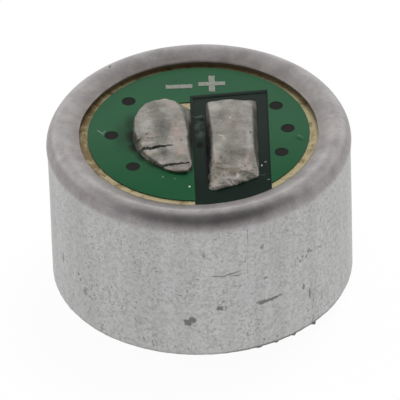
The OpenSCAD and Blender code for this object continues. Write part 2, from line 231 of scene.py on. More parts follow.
def markMask(tree, place, marks, raggedness, core):
    # soft-edged ovals, full out to the core: centre and half sizes in mm, turn in degrees, strength
    wobble = addNode(tree, "TexNoise", {"Scale": perMm(markShape["wobble"]), "Detail": 3}, {"Vector": place})
    shift = addNode(tree, "VectorMath", {"operation": "SUBTRACT", 1: (0.5, 0.5, 0.5)},
                    {0: wobble.outputs["Color"]})
    total = None
    for centre, half, turn, strength in marks:
        inMark = addNode(tree, "Mapping", {
            "vector_type": "TEXTURE",
            "Location": [c * mm for c in centre],
            "Rotation": [math.radians(t) for t in turn],
            "Scale": [h * mm for h in half],
        }, {"Vector": place})
        ragged = addNode(tree, "VectorMath", {"operation": "MULTIPLY_ADD", 1: (raggedness,) * 3},
                         {0: shift, 2: inMark})
        reach = addNode(tree, "VectorMath", {"operation": "LENGTH"}, {0: ragged})
        mark = addNode(tree, "MapRange", {
            "From Min": markShape["fadeEnd"], "From Max": core, "To Max": strength,
        }, {"Value": reach})
        total = mark if total is None else addNode(
            tree, "Math", {"operation": "MAXIMUM"}, {0: total, 1: mark})
    return total


def paintMarks(tree, place, coat, kinds):
    # each kind of mark over the one before, on the terminal side
    for code, raggedness, core, marks in kinds.values():
        overBoard = [((x, y, copperTop), (halfX, halfY, markShape["halfHeight"]), (0, 0, turn), strength)
                     for x, y, halfX, halfY, turn, strength in marks]
        patch = markMask(tree, place, overBoard, raggedness, core)
        coat = addNode(tree, "Mix", {7: colour(code)}, {0: patch, 6: coat})
    return coat


# Can

canShape = {
    "sheet": 0.2,
    "frontCorner": 0.14,
    "shoulder": 0.42,       # how far in the rolled shoulder reaches
    "shoulderDrop": 0.53,   # how far down the wall it starts
    "lipAngle": 20,
    "lipReach": 1.03,
    "lipRound": 0.03,       # at the cut edge
    "lipBevel": 0.3,        # share of that, where the rounding is in its middle
    "swelling": 0.03,       # below the rolled shoulder
    "swellReach": 0.25,
    "portRadius": 0.4,
    "portCircle": 1.7,
    "portCount": 6,
    "portSides": 40,
    "turns": 320,
}

canWear = {
    "bodyLumps": (2.2, 0.02),    # grain and depth
    "lipLumps": (0.5, 0.035),
    "lipBand": 0.12,             # to either side of the cut edge
    "lowerLumps": (0.22, 0.03),
    "lowerInset": 0.2,           # from the wall inwards
    "lowerHeight": 0.08,         # over the front face, and the band about it
    "lowerBand": 0.12,
    "burrs": [(316, 0.07), (306, 0.05), (298, 0.04), (291, 0.03)],   # angle and reach, on the lower edge
    "burrHeight": 0.07,
    "burrBand": 0.05,
    "burrWidth": 0.07,
    "burrDroop": -0.4,           # fall for each step outwards
}

lipEdge = canHigh[0] - canShape["lipReach"]

canPatterns = {   # size in mm, detail, roughness, share of the height that counts
    "clouds": (1.3, 4, 0.5, 1),
    "blotches": (0.7, 5, 0.6, 1),
    "grain": (0.08, 5, 0.7, 1),
    "mottling": (0.16, 3, 0.5, 1),
    "drawMarks": (0.5, 2, 0.5, 0.05),
    "clusters": (0.8, 2, 0.5, 1),
    "specks": (0.09, 1, 0.5, 1),
    "streaks": (0.1, 1, 0.5, 0.3),
}

canZones = {   # what is measured, where the zone starts and where it is full, how it goes over
    "rim": ("height", canHigh[2] - 0.8, canHigh[2] - 0.2, "LINEAR"),
    "overWall": ("height", canHigh[2] - 0.62, canHigh[2] - 0.38, "SMOOTHSTEP"),
    "underCrown": ("height", canHigh[2] - 0.04, canHigh[2] - 0.2, "SMOOTHSTEP"),
    "shoulder": ("radius", 4.4, 4.6, "LINEAR"),
    "lip": ("radius", 4.35, 3.9, "SMOOTHSTEP"),
    "lowerEdge": ("height", canLow[2] + 0.17, canLow[2] + 0.1, "LINEAR"),
    "cutEdge": ("radius", lipEdge + 0.16, lipEdge + 0.06, "LINEAR"),
    "nearBoard": ("height", copperTop + 0.18, copperTop + 0.15, "LINEAR"),
}

rimSpot = ((-2.79, 3.47, canHigh[2]), (0.05, 0.06, 0.2), (0, 0, 0), 1)   # one black spot at the back left
stainDepth = 0.6   # half depth of a stain, through the wall
lowerShadeEnd = 1.6   # x where the painted shade on the lower edge is at its strongest

wallStains = [   # angle, height, half length, half width, tilt, strength
    (263.6, 1.68, 0.16, 0.13, 20, 0.95),
    (265.3, 1.78, 0.15, 0.13, 0, 0.95),
    (275.9, 2.21, 0.11, 0.11, 0, 0.9),
    (292.1, 2.14, 0.2, 0.1, -4, 0.95),
    (296.4, 2.15, 0.34, 0.065, -5, 0.95),
    (214.9, 2.2, 0.04, 0.09, 20, 0.8),
    (215.9, 2.02, 0.04, 0.07, 20, 0.8),
    (218.9, 1.72, 0.11, 0.19, 20, 0.6),
    (221.1, 1.60, 0.05, 0.05, 0, 0.7),
    (203.0, 2.2, 0.05, 0.26, 6, 0.75),
    (275.0, 3.50, 0.16, 0.028, 4, 0.9),
    (280.2, 3.53, 0.32, 0.026, -12, 0.85),
    (282.4, 3.44, 0.18, 0.024, 4, 0.7),
    (277.6, 3.47, 0.12, 0.03, -8, 0.7),
    (311.1, 2.07, 0.06, 0.12, 0, 0.8),
    (314.2, 1.68, 0.045, 0.2, 0, 0.8),
    (319.9, 3.24, 0.12, 0.035, 40, 0.55),
    (293.0, 4.34, 0.06, 0.1, 0, 0.6),
    (293.9, 3.07, 0.07, 0.05, 0, 0.7),
    (270.4, 4.35, 0.05, 0.09, 0, 0.6),
    (268.0, 3.41, 0.07, 0.025, 0, 0.7),
    (287.2, 4.9, 0.012, 0.4, 0, 0.7),
    (286.9, 3.8, 0.009, 0.9, 0, 0.35),
    (284.3, 1.59, 0.13, 0.014, 4, 0.7),
    (292.8, 0.62, 0.04, 0.05, 0, 1),
    (309.6, 3.16, 0.05, 0.05, 0, 0.75),
    (311.0, 3.28, 0.06, 0.05, 0, 0.75),
    (312.6, 3.22, 0.05, 0.06, 0, 0.75),
    (314.0, 3.38, 0.07, 0.06, 0, 0.75),
    (315.4, 3.3, 0.05, 0.05, 0, 0.75),
    (308.6, 3.3, 0.03, 0.05, 0, 0.75),
    (242.8, 1.5, 0.03, 0.13, -20, 0.5),
    (246.2, 0.8, 0.05, 0.04, 0, 0.6),
]


def makeDrawnAluminium():
    # drawn aluminium, dulled by handling: matt mottled grey, dark specks in clusters, upright draw marks,
    # rubbed stains and a smoother rolled rim
    # painted: a dark reflection band round the rolled shoulder, shade along the lower edge, and shade with
    # the brown grime at the lip's cut edge
    material, tree, shader, place = startMaterial("drawn_aluminium", Metallic=1, Roughness=0.42)
    axes = addNode(tree, "SeparateXYZ", {}, {0: place})
    flat = addNode(tree, "CombineXYZ", {}, {0: axes.outputs[0], 1: axes.outputs[1]})
    reach = addNode(tree, "VectorMath", {"operation": "LENGTH"}, {0: flat})
    measures = {"height": axes.outputs[2], "radius": reach}
    pattern = {}
    for name, (size, detail, roughness, upright) in canPatterns.items():
        drawn = addNode(tree, "Mapping", {"Scale": (1, 1, upright)}, {"Vector": place})
        pattern[name] = addNode(tree, "TexNoise", {
            "Scale": perMm(size), "Detail": detail, "Roughness": roughness,
        }, {"Vector": drawn})
    zone = {}
    for name, (measure, start, full, blend) in canZones.items():
        zone[name] = addNode(tree, "MapRange", {
            "From Min": start * mm, "From Max": full * mm, "interpolation_type": blend,
        }, {"Value": measures[measure]})

    blotches = addNode(tree, "MapRange", {"From Min": 0.36, "From Max": 0.64}, {"Value": pattern["blotches"]})
    wall = addNode(tree, "Mix", {6: colour("#bdbebf"), 7: colour("#c8c8c6")}, {0: pattern["clouds"]})
    rubbed = addNode(tree, "Mix", {6: colour("#a6a1a2"), 7: colour("#bdb9b9")}, {0: blotches})
    coat = addNode(tree, "Mix", {}, {0: zone["rim"], 6: wall, 7: rubbed})
    worn = addNode(tree, "MapRange", {"To Min": 1, "To Max": 0.35}, {"Value": zone["rim"]})
    clusters = addNode(tree, "MapRange", {"From Min": 0.45, "From Max": 0.62, "To Min": 0.25},
                       {"Value": pattern["clusters"]})
    crowding = addNode(tree, "Math", {"operation": "MULTIPLY"}, {0: clusters, 1: worn})

    layers = []   # from the bare metal outwards: mask, blend, colour
    for name, least, most, strength, spread, blend, code in (
            ("grain", 0.36, 0.66, 1, worn, "MULTIPLY", "#e8e8e8"),
            ("mottling", 0.45, 0.65, 1, worn, "MULTIPLY", "#f0f0ed"),
            ("drawMarks", 0.45, 0.6, 1, worn, "MULTIPLY", "#f7f7f6"),
            ("specks", 0.63, 0.69, 0.7, crowding, "MIX", "#747472"),
            ("streaks", 0.68, 0.74, 0.6, crowding, "MIX", "#747472")):
        shown = addNode(tree, "MapRange", {"From Min": least, "From Max": most, "To Max": strength},
                        {"Value": pattern[name]})
        mask = addNode(tree, "Math", {"operation": "MULTIPLY"}, {0: shown, 1: spread})
        layers.append((mask, blend, code))
    stains = []
    for angle, z, halfLength, halfWidth, tilt, strength in wallStains:
        turn = math.radians(angle)
        centre = (canHigh[0] * math.cos(turn), canHigh[0] * math.sin(turn), z)
        stains.append((centre, (halfLength, stainDepth, halfWidth), (0, tilt, angle + 90), strength))
    stained = markMask(tree, place, stains + [rimSpot], raggedness=2, core=0.75)
    toRight = addNode(tree, "MapRange", {"From Max": lowerShadeEnd * mm, "To Min": 0.25, "To Max": 0.85},
                      {"Value": axes.outputs[0]})
    products = []
    for first, second in ((zone["overWall"], zone["underCrown"]), (zone["lowerEdge"], toRight),
                          (zone["cutEdge"], zone["nearBoard"])):
        products.append(addNode(tree, "Math", {"operation": "MULTIPLY"}, {0: first, 1: second}))
    shoulderBand, lowerEdgeShade, grimeAndShade = products
    shoulderReflection = addNode(tree, "Math", {"operation": "MULTIPLY"}, {0: shoulderBand, 1: zone["shoulder"]})
    layers += [
        (shoulderReflection, "MULTIPLY", "#d9d6d7"),   # painted dark reflection band round the rolled shoulder
        (zone["lip"], "MULTIPLY", "#dedbd7"),   # greyer towards the cut edge
        (stained, "MIX", "#727371"),
        (lowerEdgeShade, "MIX", "#5d5d5a"),   # painted shade along the lower edge, stronger to the right
        (grimeAndShade, "MIX", "#5d4b3a"),   # brown-black grime and painted shade on the cut edge of the lip and below it
    ]
    for mask, blend, code in layers:
        coat = addNode(tree, "Mix", {"blend_type": blend, 7: colour(code)}, {0: mask, 6: coat})

    bare = addNode(tree, "MapRange", {"To Min": 1, "To Max": 0.1}, {"Value": grimeAndShade})
    matt = addNode(tree, "MapRange", {"To Min": 0.3, "To Max": 0.46}, {"Value": worn})
    relief = addNode(tree, "Math", {"operation": "MULTIPLY", 1: 0.3}, {0: worn})
    bump = linkSurface(tree, shader, coat, pattern["grain"], strength=0.3, depth=0.01)
    linkTo(tree, shader, {"Metallic": bare, "Roughness": matt})
    linkTo(tree, bump, {"Strength": relief})
    return material


def makeCan():
    radius, frontZ, crownZ = canHigh[0], canLow[2], canHigh[2]
    sheet, corner, shoulder = canShape["sheet"], canShape["frontCorner"], canShape["shoulder"]
    edge, bevel, drop = canShape["lipRound"], canShape["lipBevel"], canShape["shoulderDrop"]
    slope = math.radians(canShape["lipAngle"])
    along = Vector((-math.cos(slope), -math.sin(slope)))
    across = Vector((-math.sin(slope), math.cos(slope)))
    centre = (radius - shoulder, crownZ - shoulder)
    lipStart = Vector(centre) + across * shoulder
    lipLength = (lipStart.x - lipEdge) / math.cos(slope)
    lipEnd = lipStart + along * lipLength
    footEnd = lipEnd - across * sheet
    footStart = lipStart - across * sheet
    wallTop = crownZ - drop
    wallBottom = frontZ + corner

    def swell(z):
        return canShape["swelling"] * math.exp(-((z - wallTop) / canShape["swellReach"]) ** 2)

    outside = [(0, frontZ)] + between((0, frontZ), (radius - corner, frontZ), steps=6)
    outside += arcPoints((radius - corner, wallBottom), corner, -90, 0, steps=8)[1:]
    outside += [(radius + swell(z), z) for (z,) in between((wallBottom,), (wallTop,), steps=40)]
    for r, rise in arcPoints((centre[0], 0), shoulder, 0, 90, steps=22)[1:]:
        z = wallTop + rise / shoulder * drop
        outside.append((r + swell(z), z))
    outside += arcPoints(centre, shoulder, 90, 90 + canShape["lipAngle"], steps=5)[1:]
    lip = between(lipStart, lipEnd - along * edge, steps=8)
    lip += [tuple(lipEnd - along * edge * bevel - across * edge * bevel), tuple(lipEnd - across * edge)]
    lip += between(lipEnd - across * edge, footEnd, steps=3)
    inside = between(footEnd, footStart, steps=4)
    inside += arcPoints(centre, shoulder - sheet, 90 + canShape["lipAngle"], 0, steps=10)[1:]
    inside += between((radius - sheet, centre[1]), (radius - sheet, frontZ + sheet), steps=6)
    inside += between((radius - sheet, frontZ + sheet), (0, frontZ + sheet), steps=4)
    can = turnProfile("drawn_can", outside + lip + inside, canShape["turns"])

    # sound ports through the front face
    clearSelection()
    ports = []
    for i in range(canShape["portCount"] + 1):
        turn = 2 * math.pi * i / canShape["portCount"]
        ring = canShape["portCircle"] if i else 0
        bpy.ops.mesh.primitive_cylinder_add(
            vertices=canShape["portSides"], radius=canShape["portRadius"], depth=3 * sheet,
            location=(ring * math.cos(turn), ring * math.sin(turn), frontZ + sheet / 2))
        ports.append(bpy.context.object)
    for port in ports:
        port.select_set(True)
    bpy.ops.object.join()
    cutAway(can, bpy.context.object, "EXACT")

    def lipWeight(at):
        return 1 - abs(math.hypot(at.x, at.y) - lipEdge) / canWear["lipBand"]

    def lowerWeight(at):
        onWall = math.hypot(at.x, at.y) > radius - canWear["lowerInset"]
        return onWall * (1 - abs(at.z - frontZ - canWear["lowerHeight"]) / canWear["lowerBand"])

    roughen(can, *canWear["bodyLumps"])
    roughen(can, *canWear["lipLumps"], lipWeight)
    roughen(can, *canWear["lowerLumps"], lowerWeight)
    for angle, reach in canWear["burrs"]:
        turn = math.radians(angle)
        out = Vector((math.cos(turn), math.sin(turn), canWear["burrDroop"]))
        makeActive(can)
        selectNothing("VERT")
        for vert in can.data.vertices:
            level = abs(vert.co.z - frontZ - canWear["burrHeight"]) < canWear["burrBand"]
            vert.select = level and (vert.co.xy - out.xy * radius).length < canWear["burrWidth"]
        bpy.ops.object.mode_set(mode="EDIT")
        bpy.ops.transform.translate(value=out * reach)
        bpy.ops.object.mode_set(mode="OBJECT")
    finishPiece(can, makeDrawnAluminium(), ["can"], smoothAngle=35)


# Dust felt

feltShape = {
    "edge": 0.08,        # rounded lower edge
    "turns": 160,
    "rings": 70,
    "nap": (0.16, 0.05), # grain and depth
    "napGain": 1.5,      # the nap grows with the depth below the glued face, which stays flat
    "napStart": 0.3,
    "fibre": 0.06,       # width
    "fibreRun": 0.15,    # its width as a share of its length
    "fibreTurn": 0.6,    # of the crossing fibres, in radians
}


def makeWoolFelt():
    # needled wool felt: charcoal, with a matted nap of crossing fibres
    material, tree, shader, place = startMaterial("needled_felt", Roughness=0.95, Sheen_Weight=0.35)
    run, fibreTurn = feltShape["fibreRun"], feltShape["fibreTurn"]
    mat = addNode(tree, "TexNoise", {"Scale": perMm(0.5), "Detail": 4}, {"Vector": place})
    layers = []
    for stretch, turn in (((1, run, 1), 0), ((run, 1, 1), fibreTurn)):
        lying = addNode(tree, "Mapping", {"Scale": stretch, "Rotation": (0, 0, turn)}, {"Vector": place})
        layers.append(addNode(tree, "TexNoise", {"Scale": perMm(feltShape["fibre"]), "Detail": 4},
                              {"Vector": lying}))
    fibres = addNode(tree, "Math", {"operation": "MAXIMUM"}, {0: layers[0], 1: layers[1]})
    light = addNode(tree, "MapRange", {"From Min": 0.45, "From Max": 0.75}, {"Value": fibres})
    ground = addNode(tree, "Mix", {6: colour("#1d1d1f"), 7: colour("#2c2c2e")}, {0: mat})
    nap = addNode(tree, "Mix", {7: colour("#55545a")}, {0: light, 6: ground})
    linkSurface(tree, shader, nap, fibres, strength=0.8, depth=0.02)
    return material


def makeFelt():
    low, high = nodeBox("dust_felt")
    radius, bottom, top, edge = high[0], low[2], high[2], feltShape["edge"]
    profile = [(0, top), (radius - edge, top), (radius, top)]
    profile += between((radius, top), (radius, bottom + edge), steps=3)
    profile += arcPoints((radius - edge, bottom + edge), edge, 0, -90, steps=5)[1:]
    profile += between((radius - edge, bottom), (0, bottom), feltShape["rings"])
    felt = turnProfile("felt_disc", profile, feltShape["turns"])

    def napWeight(at):
        return (top - at.z) / (top - bottom) * feltShape["napGain"] - feltShape["napStart"]

    roughen(felt, *feltShape["nap"], napWeight, level=1)
    finishPiece(felt, makeWoolFelt(), ["dust_felt"], smoothAngle=60)


# Solder on the terminals

solderForm = {
    "sunk": 0.08,     # how far the loft starts below the copper
    "sides": [(0, 0.08), (0.5, 0.5), (0.92, 0.86)],   # shares of the way from foot to crown and of its height
    "top": [(0.95, 0.01), (0.8, 0.05), (0.5, 0.075), (0.2, 0.08)],   # scale of the crown's edge, rise over it
    "voxel": 0.018,
    "standing": 0.05,   # what stands lower over the copper doesn't sink with a crack
    "sinkRun": 0.5,     # length over which the sinking ends
    "crackBlade": 1,    # height of the ribbon that cuts it
    "crackStep": 0.05,
    "crackWaves": [(0.016, 31, 1), (0.01, 67, 2)],   # how far a crack strays, waves along x, phases
    "crackPhases": (0, 2),   # cut twice, which makes it ragged
    "footDarkening": (0.06, 0.01),   # height over the copper where the darkening towards the foot starts and where it is full
}

groundSolder = {
    # foot: angles on the half-round land, slumped over its edge at the front, then the straight side
    "landCentre": (-0.24, 0.02),
    "landRadius": 1.88,
    "slumpRadius": 1.97,
    "slumpFrom": 240,
    "footAngles": [112, 124, 136, 148, 160, 172, 186, 198, 208, 218, 228, 237, 246, 256, 267],
    "footSide": [
        (-0.23, -1.74), (-0.22, -1.2), (-0.22, -0.7), (-0.22, 0.0), (-0.22, 0.8), (-0.23, 1.46),
        (-0.56, 1.74),
    ],
    # edge of the crown, point for point over the foot: x, y, height over the copper
    "crown": [
        (-1.05, 1.47, 0.57), (-1.37, 1.40, 0.57), (-1.69, 1.21, 0.56), (-1.92, 0.92, 0.53),
        (-2.05, 0.55, 0.50), (-2.06, 0.13, 0.46), (-1.98, -0.31, 0.41), (-1.86, -0.60, 0.37),
        (-1.78, -0.86, 0.34), (-1.58, -1.12, 0.30), (-1.43, -1.36, 0.27), (-1.28, -1.60, 0.24),
        (-1.12, -1.78, 0.22), (-0.82, -1.96, 0.21), (-0.42, -2.02, 0.21), (-0.24, -1.73, 0.24),
        (-0.27, -1.39, 0.27), (-0.35, -0.87, 0.34), (-0.37, -0.12, 0.43), (-0.42, 0.45, 0.49),
        (-0.52, 0.95, 0.53), (-0.74, 1.31, 0.57),
    ],
    # each crack's width, how far the solder in front has sunk and the x where that ends;
    # then its x, y and the height of its bottom over the copper
    "cracks": [
        (0.03, 0.045, -0.9, [
            (-2.2, -0.78, 0.03), (-1.84, -0.84, 0.06), (-1.58, -0.95, 0.08), (-1.45, -0.93, 0.10),
            (-1.32, -0.89, 0.14), (-1.15, -0.91, 0.20), (-0.98, -0.92, 0.28), (-0.84, -0.90, 0.36),
        ]),
        (0.03, 0.05, -0.35, [
            (-1.44, -1.40, 0.06), (-1.29, -1.60, 0.05), (-1.17, -1.70, 0.04), (-0.93, -1.73, 0.05),
            (-0.69, -1.74, 0.08), (-0.45, -1.71, 0.14), (-0.32, -1.67, 0.21),
        ]),
        (0.028, 0, 0, [
            (-1.6, -0.98, 0.08), (-1.45, -0.96, 0.10), (-1.32, -0.92, 0.14), (-1.15, -0.94, 0.20),
            (-1.02, -0.94, 0.26),
        ]),
        (0.03, 0, 0, [
            (-2.3, -0.33, 0.14), (-2.08, -0.42, 0.18), (-1.96, -0.48, 0.24), (-1.86, -0.51, 0.32),
        ]),
    ],
    "lumps": [(0.5, 0.07), (0.12, 0.015)],   # grain and depth
    "rounding": 34,
}

outputSolder = {
    # foot just over the edge of the land, from the back left corner down the left side
    "foot": [
        (0.26, 1.78), (0.25, 1.20), (0.24, 0.40), (0.24, -0.60), (0.25, -1.50), (0.25, -2.30),
        (0.25, -2.82), (0.47, -2.88), (0.82, -2.75), (1.16, -2.62), (1.54, -2.41), (1.88, -2.22),
        (1.91, -2.02), (1.89, -1.40), (1.89, -0.90), (1.89, -0.10), (1.89, 0.70), (1.91, 1.80),
        (1.76, 1.88), (1.10, 1.87), (0.66, 1.87), (0.34, 1.87),
    ],
    "crown": [
        (0.30, 1.38, 0.32), (0.38, 0.54, 0.38), (0.42, -0.28, 0.39), (0.45, -1.20, 0.38),
        (0.47, -1.87, 0.32), (0.43, -2.45, 0.20), (0.44, -2.66, 0.12), (0.62, -2.73, 0.10),
        (0.94, -2.64, 0.10), (1.26, -2.50, 0.10), (1.58, -2.31, 0.11), (1.80, -2.12, 0.14),
        (1.82, -1.95, 0.20), (1.79, -1.48, 0.29), (1.76, -0.97, 0.35), (1.74, -0.20, 0.38),
        (1.73, 0.61, 0.38), (1.75, 1.20, 0.34), (1.64, 1.48, 0.32), (1.12, 1.54, 0.34), (0.70, 1.50, 0.34),
        (0.38, 1.49, 0.32),
    ],
    "lumps": [(0.6, 0.07), (0.14, 0.015)],
    "endLumps": (0.2, 0.08),   # the ragged front end
    "endStart": -1.4,
    "endRun": 0.5,
    "rounding": 80,
}

solderMarks = {   # colour, raggedness, core; then x, y, half sizes, turn and strength of each mark
    # painted shade: the darker middles of the tops and the shaded right sides
    "shade": ("#6e6c65", 0.9, 0.2, [
        (-1.18, 0.0, 0.32, 0.9, 4, 1), (-1.3, 0.75, 0.25, 0.3, 30, 0.6), (-1.12, -1.22, 0.2, 0.34, 15, 1),
        (1.83, -0.1, 0.1, 1.8, -2, 0.9), (1.0, -0.6, 0.35, 0.9, 0, 0.45),
        (0.95, -1.75, 0.35, 0.25, 20, 0.5), (0.8, 0.6, 0.3, 0.4, 0, 0.3),
    ]),
    # rose tint, partly a painted highlight on the brighter right sides
    "roseAndHighlight": ("#b3a39d", 0.9, 0.2, [
        (-0.66, -0.3, 0.24, 0.6, 8, 1), (-0.6, -1.15, 0.28, 0.35, 0, 0.9), (1.5, -1.63, 0.12, 0.45, -15, 1),
        (1.0, 0.2, 0.3, 0.5, 0, 0.3), (-1.55, -0.45, 0.25, 0.12, 0, 0.8), (-0.85, 1.0, 0.25, 0.25, 0, 0.6),
    ]),
    "olive": ("#6f6650", 1.2, 0.2, [
        (1.08, -2.1, 0.3, 0.22, 25, 0.9), (0.6, -2.05, 0.22, 0.35, 0, 0.7),
        (1.6, -2.15, 0.15, 0.15, 0, 0.5),
    ]),
    # painted highlights: glints, lit edges and a bright scratch
    "paleHighlight": ("#d0cdc5", 0.8, 0.4, [
        (0.71, -0.47, 0.1, 0.028, -10, 1), (0.8, -0.6, 0.022, 0.12, 25, 0.9),
        (1.03, 0.52, 0.035, 0.045, 0, 1), (0.72, 0.35, 0.03, 0.04, 0, 0.7),
        (1.2, -2.3, 0.06, 0.14, -15, 0.8), (-1.1, 0.8, 0.18, 0.17, 0, 0.35),
        (-1.55, -0.75, 0.2, 0.07, 5, 0.6), (-1.5, -1.02, 0.22, 0.12, -15, 0.6),
        (0.6, 1.1, 0.25, 0.25, 0, 0.25), (-1.75, 0.25, 0.25, 0.5, 0, 0.3), (1.6, -0.7, 0.12, 0.5, 0, 0.4),
    ]),
    # cream tint, partly painted highlights on the lit lower edges
    "creamAndHighlight": ("#c0b4aa", 1.1, 0.3, [
        (-1.28, -1.58, 0.16, 0.1, -42, 0.9), (-0.95, -1.86, 0.3, 0.08, -14, 0.9),
        (-0.5, -1.9, 0.3, 0.12, 0, 0.6), (-1.75, -0.72, 0.2, 0.1, -20, 0.8),
        (-1.62, -1.06, 0.2, 0.1, -35, 0.8), (0.5, -2.62, 0.2, 0.16, 10, 0.8),
        (1.17, -2.36, 0.22, 0.06, 48, 0.9), (1.6, -1.95, 0.1, 0.25, -20, 0.6),
        (0.55, -1.5, 0.12, 0.5, 4, 0.5),
    ]),
    "pit": ("#4a463f", 0.6, 0.4, [
        (1.03, -1.26, 0.03, 0.05, 0, 0.9), (-1.65, -0.37, 0.03, 0.04, 0, 0.8),
        (-1.62, -0.53, 0.06, 0.03, 0, 0.8), (-1.48, -0.56, 0.05, 0.03, 0, 0.7),
        (-1.15, -0.5, 0.04, 0.05, 0, 0.6), (-0.57, -0.66, 0.045, 0.06, 0, 0.6),
        (-0.72, 0.11, 0.018, 0.07, 20, 0.7), (0.68, -1.6, 0.05, 0.07, 0, 0.5),
        (1.4, 0.3, 0.03, 0.04, 0, 0.5), (1.66, -0.35, 0.06, 0.1, 0, 0.7), (1.45, -1.9, 0.05, 0.06, 0, 0.7),
        (0.75, -2.3, 0.04, 0.05, 0, 0.6),
    ]),
    # flux dirt and painted shade on the steep sides that face each other
    "fluxAndShade": ("#211f1b", 0.8, 0.6, [(0.27, -0.9, 0.13, 1.9, 0, 0.95), (-0.25, -0.1, 0.08, 1.1, 0, 0.7)]),
}


def makeSolder():
    # tin-lead solder gone dull: warm grey, smooth oxide in soft patches, pits, darker towards the copper at
    # the foot; the marks add painted shade, painted highlights and flux
    material, tree, shader, place = startMaterial("dull_solder", Metallic=0.8, Roughness=0.45)
    clouds = addNode(tree, "TexNoise", {"Scale": perMm(0.6), "Detail": 4, "Roughness": 0.55},
                     {"Vector": place})
    grit = addNode(tree, "TexNoise", {"Scale": perMm(0.05), "Detail": 4}, {"Vector": place})
    worn = addNode(tree, "MapRange", {"From Min": 0.3, "From Max": 0.7}, {"Value": clouds})
    tone = addNode(tree, "Mix", {6: colour("#7c7971"), 7: colour("#b5b1aa")}, {0: worn})
    gritty = addNode(tree, "MapRange", {"From Min": 0.5, "From Max": 0.75, "To Max": 0.7}, {"Value": grit})
    coat = addNode(tree, "Mix", {"blend_type": "MULTIPLY", 7: colour("#cdc9c2")}, {0: gritty, 6: tone})
    coat = paintMarks(tree, place, coat, solderMarks)
    darkeningStart, darkeningFull = [(copperTop + rise) * mm for rise in solderForm["footDarkening"]]
    height = addNode(tree, "SeparateXYZ", {}, {0: place}).outputs[2]
    footDarkening = addNode(tree, "MapRange", {"From Min": darkeningStart, "From Max": darkeningFull, "To Max": 0.4},
                   {"Value": height})
    darkenedCoat = addNode(tree, "Mix", {7: colour("#2c2a24")}, {0: footDarkening, 6: coat})
    matt = addNode(tree, "MapRange", {"To Min": 0.36, "To Max": 0.54}, {"Value": clouds})
    linkTo(tree, shader, {"Roughness": matt})
    linkSurface(tree, shader, darkenedCoat, grit, strength=0.3, depth=0.01)
    return material


def loftRings(name, rings):
    # the first ring is filled, then drawn up from ring to ring
    piece = drawLine(name, rings[0])
    bpy.ops.mesh.select_all(action="SELECT")
    bpy.ops.mesh.edge_face_add()
    for below, ring in zip(rings, rings[1:]):
        bpy.ops.mesh.extrude_region_move(TRANSFORM_OT_translate={"value": (0, 0, 0)})
        bpy.ops.object.mode_set(mode="OBJECT")
        for vert in piece.data.vertices:
            if vert.select:
                nearest = min(range(len(below)), key=lambda i: (Vector(below[i]) - vert.co).length)
                vert.co = ring[nearest]
        bpy.ops.object.mode_set(mode="EDIT")
    faceOutwards()
    return piece


def raiseSolder(name, foot, crown, rounding):
    # sides swell between foot and crown, and the crown rises a little to its middle
    middle = sum((Vector(point) for point in crown), Vector()) / len(crown)
    rings = [[(x, y, copperTop - solderForm["sunk"]) for x, y in foot]]
    for share, rise in solderForm["sides"]:
        rings.append([(f[0] + (c[0] - f[0]) * share, f[1] + (c[1] - f[1]) * share, copperTop + c[2] * rise)
                      for f, c in zip(foot, crown)])
    for scale, rise in solderForm["top"]:
        lift = Vector((0, 0, copperTop + rise))
        rings.append([tuple(middle + (Vector(c) - middle) * scale + lift) for c in crown])
    solder = loftRings(name, rings)
    applyModifier(solder, "REMESH", mode="VOXEL", voxel_size=solderForm["voxel"])
    applyModifier(solder, "SMOOTH", factor=0.5, iterations=rounding)
    return solder


def crackY(path, x):
    # where a crack runs at this x
    for (x0, y0, _), (x1, y1, _) in zip(path, path[1:]):
        if x <= x1:
            return y0 + (y1 - y0) * (x - x0) / (x1 - x0)
    return path[-1][1]


def sinkFront(solder, path, depth, end):
    # presses down what lies in front of the crack, less and less towards its right end
    for vert in solder.data.vertices:
        if vert.co.z > copperTop + solderForm["standing"] and vert.co.y < crackY(path, vert.co.x):
            vert.co.z -= depth * max(0, min(1, (end - vert.co.x) / solderForm["sinkRun"]))


def wander(path, phase):
    # the crack's line in short steps, straying to either side
    line = path[:1]
    for start, end in zip(path, path[1:]):
        steps = max(1, round((end[0] - start[0]) / solderForm["crackStep"]))
        for x, y, z in between(start, end, steps):
            for stray, waves, share in solderForm["crackWaves"]:
                y += stray * math.sin(waves * x + share * phase)
            line.append((x, y, z))
    return line


def cutCrack(piece, path, width):
    # a thin upright ribbon along the crack, taken out of the solder
    ribbon = drawLine("crack", [(x, y, copperTop + z) for x, y, z in path])
    bpy.ops.mesh.select_all(action="SELECT")
    bpy.ops.mesh.extrude_region_move(TRANSFORM_OT_translate={"value": (0, 0, solderForm["crackBlade"])})
    bpy.ops.object.mode_set(mode="OBJECT")
    applyModifier(ribbon, "SOLIDIFY", thickness=width, offset=0)
    bpy.ops.object.mode_set(mode="EDIT")
    faceOutwards()
    cutAway(piece, ribbon)


def flattenFoot(piece, z, block=10):
    # cuts the piece off level with what it sits on
    clearSelection()
    bpy.ops.mesh.primitive_cube_add(size=block, location=(0, 0, z - block / 2))
    cutAway(piece, bpy.context.object)


